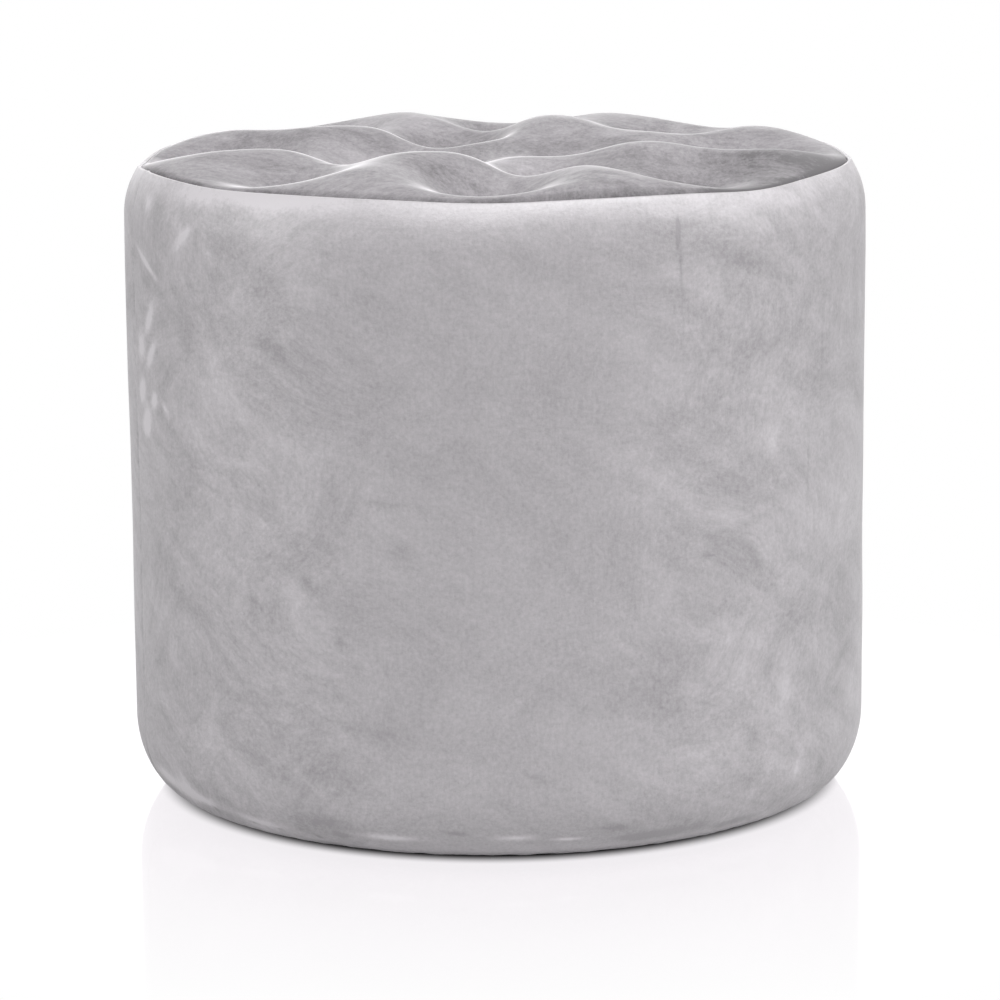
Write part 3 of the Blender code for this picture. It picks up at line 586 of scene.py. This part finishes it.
def lining_finish():
    """Black non-woven lining: bonded fibres with pressed dots."""
    material = new_finish("black_lining", (0.02, 0.02, 0.02), 0.9)
    place = coordinates(material)
    fibres = noise_value(material, stretched(material, place, (700, 1500, 700)), 1, 4, 0.7)
    grid = {"Vector": place, "Scale": 480.0, "Randomness": 0.15}
    dots = add(material, "ShaderNodeTexVoronoi", grid).outputs["Distance"]
    pressed = spread(material, dots, 0.15, 0.35)
    height = math_node(material, "MULTIPLY_ADD", fibres, 0.3, pressed)
    set_colour(material, blend_colours(material, height, (0.010, 0.010, 0.011), (0.045, 0.045, 0.047)))
    set_bump(material, height, 0.5, 0.2 * MM)
    return material


SIDE_TONES = ((0.270, 0.257, 0.270), (0.569, 0.544, 0.569))
TOP_TONES = ((0.160, 0.153, 0.160), (0.635, 0.607, 0.635))
# Colour of the painted sheen on the top
PAINTED_SHEEN_TONE = (0.96, 0.93, 0.96)
SIDE_VELVET = velvet(
    "side_velvet", on_top=False, tones=SIDE_TONES, fibre_scale=(600, 160, 600), grain=1.0, bump=0.35,
    gloss=1.0, nap_and_light_marks=SIDE_NAP_AND_LIGHT_MARKS, light_bands=SIDE_LIGHT_BANDS,
)
TOP_VELVET = velvet(
    "top_velvet", on_top=True, tones=TOP_TONES, fibre_scale=(50, 300, 300), grain=0.65, bump=0.1,
    gloss=0.03, nap_and_light_marks=TOP_NAP_AND_SHADE_MARKS + PIT_SHADE_MARKS, light_bands=TOP_SHADE_BANDS,
)
FOAM = foam_finish()
STEEL = steel_finish()
PLASTIC = plastic_finish()
LINING = lining_finish()


def shoulder_slope():
    """Angle that the shoulder's face looks up at, where it turns over into the seam."""
    turn = math.radians(SHOULDER_SWEEP)
    return math.atan2(math.sin(turn) / SHOULDER_RISE, math.cos(turn) / SHOULDER_RUN)


def side_profile():
    """Face of the side velvet: hem, rounded bottom edge, straight side, shoulder, lip and allowance."""
    edge_centre = (BASE_EDGE_RADIUS, COVER_BOTTOM + BASE_EDGE_RISE)
    shoulder_centre = (BODY_RADIUS - SHOULDER_RUN, SHOULDER_LEVEL)
    points = line((BASE_EDGE_RADIUS - HEM_WIDTH, COVER_BOTTOM), (BASE_EDGE_RADIUS, COVER_BOTTOM), 12)
    points += arc(edge_centre, (BASE_EDGE_RUN, BASE_EDGE_RISE), -90, 0, 18)
    points += line((BODY_RADIUS, edge_centre[1]), (BODY_RADIUS, SHOULDER_LEVEL), 46)[1:]
    points += arc(shoulder_centre, (SHOULDER_RUN, SHOULDER_RISE), 0, SHOULDER_SWEEP, 12)
    slope = shoulder_slope()
    radius, height = points[-1]
    roll = (radius - SEAM_RADIUS) / (1 + math.cos(slope))
    lip_centre = (SEAM_RADIUS + roll, height - roll * math.sin(slope))
    points += arc(lip_centre, (roll, roll), math.degrees(slope), 180, 8)[1:]
    points += [(SEAM_RADIUS, (lip_centre[1] + ALLOWANCE_BOTTOM) / 2), (SEAM_RADIUS, ALLOWANCE_BOTTOM)]
    return points


# The side is turned from one edge of the closing seam round to the other, then finely across the seam
SEAM_SECTOR = 8
SIDE_SECTIONS = ((360 - SEAM_SECTOR, 372), (SEAM_SECTOR, 28))


def shape_side(place):
    """Move a point of the side velvet to where stretch, seams and gathers leave it."""
    radius = place.xy.length
    angle = math.atan2(place.y, place.x)
    from_seam = turn_between(angle, SIDE_SEAM_ANGLE) * BODY_RADIUS
    above_edge = clamp_step(12 * MM, 40 * MM, place.z)
    below_seam = 1 - clamp_step(SEAM_HEIGHT - 25 * MM, SEAM_HEIGHT, place.z)
    bulge = sum(size * noise.noise(place * scale) for scale, size in SIDE_WAVES)
    pucker = PUCKER * math.exp(-((from_seam / PUCKER_WIDTH) ** 2))
    pucker *= noise.noise(Vector((0, 0, place.z * PUCKER_SCALE)))
    groove = GROOVE * math.exp(-((from_seam / GROOVE_WIDTH) ** 2)) * clamp_step(6 * MM, 12 * MM, place.z)
    out = above_edge * below_seam * (bulge + pucker) - groove
    gather = clamp_step(BODY_RADIUS - 52 * MM, BODY_RADIUS - 28 * MM, radius)
    gather *= 1 - clamp_step(5 * MM, 26 * MM, place.z)
    round_place = Vector((math.cos(angle), math.sin(angle), 0))
    pleat = PLEAT * gather * (noise.noise(round_place * PLEAT_SCALE) - 0.4)
    lift = seam_wave(angle) * clamp_step(SEAM_HEIGHT - SHOULDER_BLEND, SEAM_HEIGHT - 2 * MM, place.z)
    flat = place.xy.normalized() * (radius + out)
    return Vector((flat.x, flat.y, place.z + pleat + lift))


def unroll_side(mesh):
    """UV map in metres: round the drum from the side seam, and up the side from the floor."""
    uv = mesh.uv_layers.new(name="unrolled")
    turn = math.tau * BODY_RADIUS
    for face in mesh.polygons:
        rounds = []
        for index in face.loop_indices:
            place = mesh.vertices[mesh.loops[index].vertex_index].co
            angle = (math.atan2(place.y, place.x) - SIDE_SEAM_ANGLE) % math.tau
            inward = BODY_RADIUS - place.xy.length
            up = place.z + (inward if place.z > SEAM_HEIGHT / 2 else -inward)
            rounds.append((index, angle * BODY_RADIUS, up))
        widest = max(item[1] for item in rounds)
        for index, along, up in rounds:
            if widest - along > turn / 2:
                along += turn
            uv.data[index].uv = (along, up)


def make_side():
    """Side velvet, one strip round the drum with its hem turned in under the base."""
    start = SIDE_SEAM_ANGLE + math.radians(SEAM_SECTOR / 2)
    shape = revolve(side_profile(), SIDE_SECTIONS, start)
    for vert in shape.verts:
        vert.co = shape_side(vert.co)
    side = make_piece("velvet_side", shape, SIDE_VELVET, math.radians(80))
    unroll_side(side.data)
    thicken(side, VELVET)
    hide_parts("side_cover")


def top_rings():
    """Radii and drops of the top panel's rings, closer near its rim, and over its rolled edge."""
    near_rim = TOP_RADIUS - 18 * MM
    rings = line((0, 0), (near_rim, 0), 82) + line((near_rim, 0), (PANEL_REACH, 0), 22)
    return rings + arc((PANEL_REACH, -PANEL_ROLL), (PANEL_ROLL, PANEL_ROLL), 90, 0, 5)


def make_trial_panel():
    """A plainer copy of the panel to simulate, held at its rim and at its buttons."""
    rings = line((0, 0), (PANEL_REACH, 0), TRIAL_RINGS) + [(PANEL_REACH, 0)]
    shape = revolve(rings, ((360, TRIAL_SPOKES),))
    for vert in shape.verts:
        vert.co.z = top_height(vert.co.x, vert.co.y)
    shape.normal_update()
    if sum(face.normal.z for face in shape.faces) < 0:
        bmesh.ops.reverse_faces(shape, faces=shape.faces)
    mesh = bpy.data.meshes.new("trial_panel")
    shape.to_mesh(mesh)
    shape.free()
    panel = bpy.data.objects.new("trial_panel", mesh)
    bpy.context.collection.objects.link(panel)
    held = panel.vertex_groups.new(name="held")
    for vert in mesh.vertices:
        from_tuft = min((vert.co.xy - tuft).length for tuft, _, _, _ in TUFTS)
        by_button = 1 - clamp_step(BUTTON_HOLD, BUTTON_FREE, from_tuft)
        by_rim = 1 - clamp_step(RIM_HOLD, RIM_FREE, PANEL_REACH - vert.co.xy.length)
        hold = max(by_button, by_rim)
        held.add([vert.index], hold, "REPLACE")
    return panel


def trial_place(place):
    """Ring and spoke of the trial panel, in fractions, at a place."""
    ring = place.xy.length / PANEL_REACH * TRIAL_RINGS
    return ring, math.atan2(place.y, place.x) / math.tau * TRIAL_SPOKES


def swell_of_panel():
    """Simulate the velvet swelling between its buttons, and return how far each trial point moves."""
    panel = make_trial_panel()
    cloth = panel.modifiers.new("cloth", "CLOTH")
    cloth.settings.quality = TRIAL_QUALITY
    cloth.settings.mass = TRIAL_MASS
    cloth.settings.vertex_group_mass = "held"
    cloth.settings.use_pressure = True
    cloth.settings.uniform_pressure_force = TRIAL_PRESSURE
    cloth.settings.effector_weights.gravity = 0
    for step in range(1, SWELL_FRAMES + 1):
        bpy.context.scene.frame_set(step)
    swollen = panel.evaluated_get(bpy.context.evaluated_depsgraph_get()).data
    moves = [[Vector()] * TRIAL_SPOKES for _ in range(TRIAL_RINGS + 1)]
    for before, after in zip(panel.data.vertices, swollen.vertices):
        ring, spoke = trial_place(before.co)
        move = after.co - before.co
        moves[round(ring)][round(spoke) % TRIAL_SPOKES] = move * SWELL_CAP / (SWELL_CAP + move.length)
    moves[0] = [moves[0][0]] * TRIAL_SPOKES
    bpy.context.scene.frame_set(1)
    bpy.data.objects.remove(panel)
    return moves


def smooth_between(before, low, high, after, share):
    """A smooth curve through four values, between the middle two."""
    bend = 2 * before - 5 * low + 4 * high - after + (3 * (low - high) + after - before) * share
    return low + (high - before + bend * share) * share / 2


def swell(place, moves):
    """How far the velvet swells at a place, smoothly between the trial points."""
    ring, spoke = trial_place(place)
    ring = min(ring, TRIAL_RINGS)
    inner, left = math.floor(ring), math.floor(spoke)
    across = []
    for near in range(inner - 1, inner + 3):
        row = moves[min(max(near, 0), TRIAL_RINGS)]
        four = [row[(left + turn) % TRIAL_SPOKES] for turn in (-1, 0, 1, 2)]
        across.append(smooth_between(*four, spoke - left))
    return smooth_between(*across, ring - inner)


def make_top():
    """Tufted velvet panel, rolled over at the rim into its seam allowance."""
    rings = top_rings()
    shape = revolve(rings + [(TOP_RADIUS, ALLOWANCE_BOTTOM - SEAM_HEIGHT)], ((360, 400),))
    simulated = swell_of_panel()
    for vert in shape.verts:
        x, y, drop = vert.co
        if drop > -2 * PANEL_ROLL:
            vert.co.z = top_height(x, y) + drop
            if simulated:
                vert.co += swell(vert.co, simulated)
        else:
            vert.co.z = SEAM_HEIGHT + drop
    top = make_piece("velvet_top", shape, TOP_VELVET, math.radians(80))
    thicken(top, VELVET)
    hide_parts("top_cover")


def make_seat_pad():
    """Foam pad, pressed to the underside of the tufted velvet."""
    radius = PAD_HIGH.x
    under = VELVET + GAP + 0.2 * MM
    profile = line((0, PAD_LOW.z), (radius, PAD_LOW.z), 12)
    profile += line((radius, PAD_LOW.z), (radius, SEAM_HEIGHT), 8)
    # The crown is drawn well above the pad, and then pressed down to the velvet
    above = 1
    crown = line((radius, above), (0, above), 70) + [(0, above)]
    shape = revolve(profile + crown, ((360, 240),))
    for vert in shape.verts:
        if vert.co.z > above / 2:
            x, y = vert.co.xy
            vert.co.z = min(top_height(x, y) - under, PAD_HIGH.z)
    pad = make_piece("seat_pad", shape, FOAM, math.radians(60))
    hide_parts("seat_foam")


def make_side_wrap():
    """Foam wrapped once round the drum, its ends butted under the side seam."""
    inner = WRAP_HIGH.x - WRAP_THICK
    under = VELVET + 2 * GAP
    outer = [
        (radius - under, height) for radius, height in side_profile()
        if radius > inner + 3 * MM and WRAP_LOW.z + 2 * MM < height < WRAP_HIGH.z - 1 * MM
    ]
    beside_allowance = SEAM_RADIUS + VELVET + GAP
    under_allowance = ALLOWANCE_BOTTOM - GAP
    profile = [(inner, outer[0][1])] + outer
    profile += [(beside_allowance, outer[-1][1]), (beside_allowance, under_allowance)]
    profile += [(inner, under_allowance)]
    wrap = revolve(profile, ((360, 240),), SIDE_SEAM_ANGLE, closed=True)
    wrap = make_piece("side_wrap", wrap, FOAM, math.radians(40))
    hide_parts("side_foam")


def make_buttons():
    """Covered buttons: a low dome, its velvet gathered in under the rim."""
    for name in node_names("tuft_button"):
        low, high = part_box(name)
        centre = middle(name)
        radius = (high.x - low.x) / 2
        height = high.z - low.z
        rim = height * BUTTON_RIM_SHARE
        foot = radius * BUTTON_EDGE_SHARE
        profile = [(0, 0)] + line((radius * 0.5, 0), (foot, 0), 2)
        profile += arc((foot, rim), (radius - foot, rim), -90, 0, 5)
        profile += arc((0, rim), (radius, height - rim), 0, 90, 12)[1:]
        shape = revolve(profile, ((360, 48),))
        for vert in shape.verts:
            angle = math.atan2(vert.co.y, vert.co.x)
            under_rim = 1 - clamp_step(0, rim * 1.6, vert.co.z)
            reach = vert.co.xy.length / radius
            vert.co.xy *= 1 - GATHER_DEPTH * under_rim * reach * (1 + math.cos(BUTTON_GATHERS * angle))
        bmesh.ops.translate(shape, verts=shape.verts, vec=(centre.x, centre.y, low.z))
        number = name.rsplit("_", 1)[1]
        button = make_piece(f"covered_button_{number}", shape, TOP_VELVET, math.radians(70))
        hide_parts(name)


def make_glides():
    """Low moulded glides with a softened foot and the nail that holds them."""
    half_edge = GLIDE_EDGE / 2
    for name in node_names("glide"):
        low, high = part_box(name)
        centre = middle(name)
        radius = (high.x - low.x) / 2
        profile = line((0, 0), (radius - GLIDE_EDGE, 0), 3)
        profile += arc((radius - GLIDE_EDGE, GLIDE_EDGE), (GLIDE_EDGE, GLIDE_EDGE), -90, 0, 6)
        profile += arc((radius - half_edge, GLIDE_THICK - half_edge), (half_edge, half_edge), 0, 90, 4)
        profile += [(NAIL_RADIUS, GLIDE_THICK), (NAIL_RADIUS, high.z - NAIL_POINT), (0, high.z)]
        shape = revolve(profile, ((360, 48),))
        bmesh.ops.translate(shape, verts=shape.verts, vec=(centre.x, centre.y, 0))
        number = name.rsplit("_", 1)[1]
        glide = make_piece(f"round_glide_{number}", shape, PLASTIC)
        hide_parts(name)


def make_lining():
    """Lining with its edge folded under, stapled to the base board."""
    radius = LINING_HIGH.x
    low = LINING_LOW.z
    fold = (LINING_HIGH.z - low) / 2
    profile = line((0, low), (radius - fold, low), 60)
    profile += arc((radius - fold, low + fold), (fold, fold), -90, 90, 6)
    profile += [(radius - 8 * MM, low + 2 * fold), (radius - LINING_TURN, low + 2 * fold)]
    shape = revolve(profile, ((360, 240),))
    for vert in shape.verts:
        reach = vert.co.xy.length
        if vert.co.z < low + fold / 2:
            slack = 1 - clamp_step(100 * MM, 125 * MM, reach)
            vert.co.z += LINING_WAVE * slack * noise.noise(vert.co * LINING_WAVE_SCALE)
    lining = make_piece("base_lining", shape, LINING, math.radians(50))
    thicken(lining, LINING_THICK)
    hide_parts("dust_cover")


def make_staples():
    """Wide staples through the lining's folded edge, none quite in line with its neighbour."""
    reach = LINING_HIGH.x - STAPLE_INSET
    shape = bmesh.new()
    for index in range(STAPLE_COUNT):
        around = math.tau * (index + 0.5) / STAPLE_COUNT
        askew = math.radians(9) * math.sin(index * 2.4)
        out = reach + 1.2 * MM * math.sin(index * 1.7)
        place = Matrix.Translation((out * math.cos(around), out * math.sin(around), LINING_LOW.z - 0.2 * MM))
        turned = Matrix.Rotation(around + math.pi / 2 + askew, 4, "Z")
        size = Matrix.Diagonal((*STAPLE_SIZE, 1))
        bmesh.ops.create_cube(shape, size=1, matrix=place @ turned @ size)
    make_piece("lining_staples", shape, STEEL)


CAD_FINISHES = {
    "base_panel": fibreboard_finish(),
    "deck_panel": fibreboard_finish(),
    "drum_wall": hardboard_finish(),
    "frame_post": pine_finish(),
    "base_screw": STEEL,
    "deck_screw": STEEL,
    "tuft_twine": twine_finish(),
    "tuft_washer": PLASTIC,
}


def finish_frame():
    """Give each CAD piece that stays its finish."""
    for name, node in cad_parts.items():
        for start, material in CAD_FINISHES.items():
            if name.startswith(start):
                node.data.materials.clear()
                node.data.materials.append(material)


# Camera, worked out from the photograph's ellipses: place in metres, angles in radians, lens in mm
CAMERA_PLACE = Vector((0, -2.2974, 0.6156))
CAMERA_DOWN = 0.1979
CAMERA_ROLL = 0.0089
CAMERA_TURN = 0.0006
CAMERA_LENS = 153.67
SENSOR_WIDTH = 36


def make_camera():
    """Camera that looks at the pouf as the photograph does."""
    level = math.cos(CAMERA_DOWN)
    ahead = Vector((math.sin(CAMERA_TURN) * level, math.cos(CAMERA_TURN) * level, -math.sin(CAMERA_DOWN)))
    right = ahead.cross(Vector((0, 0, 1))).normalized()
    down = ahead.cross(right)
    across = math.cos(CAMERA_ROLL) * right + math.sin(CAMERA_ROLL) * down
    upward = math.sin(CAMERA_ROLL) * right - math.cos(CAMERA_ROLL) * down
    camera = bpy.data.objects.new("camera", bpy.data.cameras.new("camera"))
    camera.data.lens = CAMERA_LENS
    camera.data.sensor_width = SENSOR_WIDTH
    camera.data.clip_end = 50
    facing = Matrix((across, upward, -ahead)).transposed().to_4x4()
    camera.matrix_world = Matrix.Translation(CAMERA_PLACE) @ facing
    bpy.context.collection.objects.link(camera)
    bpy.context.scene.camera = camera


def soft_light(name, place, size, power):
    """A soft light of a width and height in metres and a power in watts, facing the pouf."""
    light = bpy.data.lights.new(name, "AREA")
    light.shape = "RECTANGLE"
    light.size, light.size_y = size
    light.energy = power
    lamp = bpy.data.objects.new(name, light)
    lamp.location = place
    aim = Vector((0, 0, SEAM_HEIGHT / 2)) - Vector(place)
    lamp.rotation_euler = aim.to_track_quat("-Z", "Y").to_euler()
    bpy.context.collection.objects.link(lamp)


def make_lights():
    """A soft light on each side, a wide one above the front and a weak one behind."""
    soft_light("left_light", (-2.3, -0.6, 1.1), (1.6, 1.6), 16)
    soft_light("right_light", (2.3, -0.6, 1.2), (1.6, 1.6), 13)
    soft_light("front_top_light", (0.6, -1.1, 2.4), (3.8, 0.45), 59)
    soft_light("back_light", (-0.3, 2.4, 0.9), (2.2, 1.0), 10)


WHITE = (1, 1, 1, 1)
WORLD_LIGHT = 0.32


def make_world():
    """White where the camera and mirrors look, and a soft grey light on the pouf."""
    world = bpy.data.worlds.new("pale_studio")
    world.use_nodes = True
    world.node_tree.nodes.clear()
    bpy.context.scene.world = world
    path = add(world, "ShaderNodeLightPath").outputs
    mirrored = math_node(world, "MAXIMUM", path["Is Glossy Ray"], path["Is Transmission Ray"])
    seen = math_node(world, "MAXIMUM", path["Is Camera Ray"], mirrored)
    white = add(world, "ShaderNodeBackground", {"Color": WHITE}).outputs[0]
    grey = add(world, "ShaderNodeBackground", {"Color": WHITE, "Strength": WORLD_LIGHT}).outputs[0]
    mix = add(world, "ShaderNodeMixShader", {0: seen, 1: grey, 2: white})
    add(world, "ShaderNodeOutputWorld", {"Surface": mix.outputs[0]})


# The floor: a painted contact shadow in a ring under the base edge, a painted reflection tint near the pouf,
# and where its faint mirror and tint fade out
FLOOR_SIZE = 8.0
PAINTED_REFLECTION_TINT = (1, 0.972, 1)
SHADE_MIDDLE = (0, 10 * MM, 0)
SHADE_INNER = BASE_EDGE_RADIUS - 3 * MM
SHADE_OUTER = BASE_EDGE_RADIUS + 15.5 * MM
FLOOR_GLOSS = 0.13
GLOSS_NEAR = 0.20
GLOSS_FAR = 0.45


def floor_finish():
    """White floor: lit white to the eye, with a painted contact shadow where the pouf meets it, and a faint
    mirror and a painted reflection tint near the pouf.
    """
    material = bpy.data.materials.new("white_floor")
    material.use_nodes = True
    material.node_tree.nodes.clear()
    place = coordinates(material)
    path = add(material, "ShaderNodeLightPath").outputs
    distance = add(material, "ShaderNodeVectorMath", {0: place}, operation="LENGTH").outputs["Value"]
    # Painted contact shadow: darker in a ring round a point just behind the middle, under the base edge
    from_shade = add(material, "ShaderNodeVectorMath", {0: place, 1: SHADE_MIDDLE}, operation="DISTANCE")
    lit = add(
        material, "ShaderNodeMapRange",
        {"Value": from_shade.outputs["Value"], "From Min": SHADE_INNER, "From Max": SHADE_OUTER},
        interpolation_type="SMOOTHSTEP",
    )
    shade = math_node(material, "POWER", lit.outputs["Result"], 1.15)
    # Painted reflection tint: faintly mauve near the pouf, fading out with the mirror
    fade = spread(material, distance, GLOSS_NEAR, GLOSS_FAR)
    painted_reflection_tint = blend_colours(material, fade, PAINTED_REFLECTION_TINT, WHITE[:3])
    glow = add(material, "ShaderNodeEmission", {"Color": painted_reflection_tint, "Strength": shade}).outputs[0]
    mirror = add(material, "ShaderNodeBsdfAnisotropic", {"Roughness": 0.08, "Color": WHITE}).outputs[0]
    gloss = spread(material, distance, GLOSS_NEAR, GLOSS_FAR, FLOOR_GLOSS, 0.0)
    seen = add(material, "ShaderNodeMixShader", {0: gloss, 1: glow, 2: mirror}).outputs[0]
    plain = add(material, "ShaderNodeBsdfDiffuse", {"Color": (0.85, 0.85, 0.85, 1)}).outputs[0]
    above = add(material, "ShaderNodeMixShader", {0: path["Is Camera Ray"], 1: plain, 2: seen}).outputs[0]
    below = add(material, "ShaderNodeBsdfTransparent").outputs[0]
    from_below = add(material, "ShaderNodeNewGeometry").outputs["Backfacing"]
    whole = add(material, "ShaderNodeMixShader", {0: from_below, 1: above, 2: below}).outputs[0]
    add(material, "ShaderNodeOutputMaterial", {"Surface": whole})
    return material


def make_floor():
    """Plain floor, part of the stage and not of the pouf."""
    shape = bmesh.new()
    bmesh.ops.create_grid(shape, x_segments=1, y_segments=1, size=FLOOR_SIZE / 2)
    mesh = bpy.data.meshes.new("floor")
    shape.to_mesh(mesh)
    shape.free()
    mesh.materials.append(floor_finish())
    floor = bpy.data.objects.new("floor", mesh)
    bpy.context.collection.objects.link(floor)


make_camera()
make_lights()
make_world()
make_floor()
finish_frame()
make_side()
make_top()
make_seat_pad()
make_side_wrap()
make_buttons()
make_glides()
make_lining()
make_staples()
bpy.context.scene.view_settings.view_transform = "Standard"
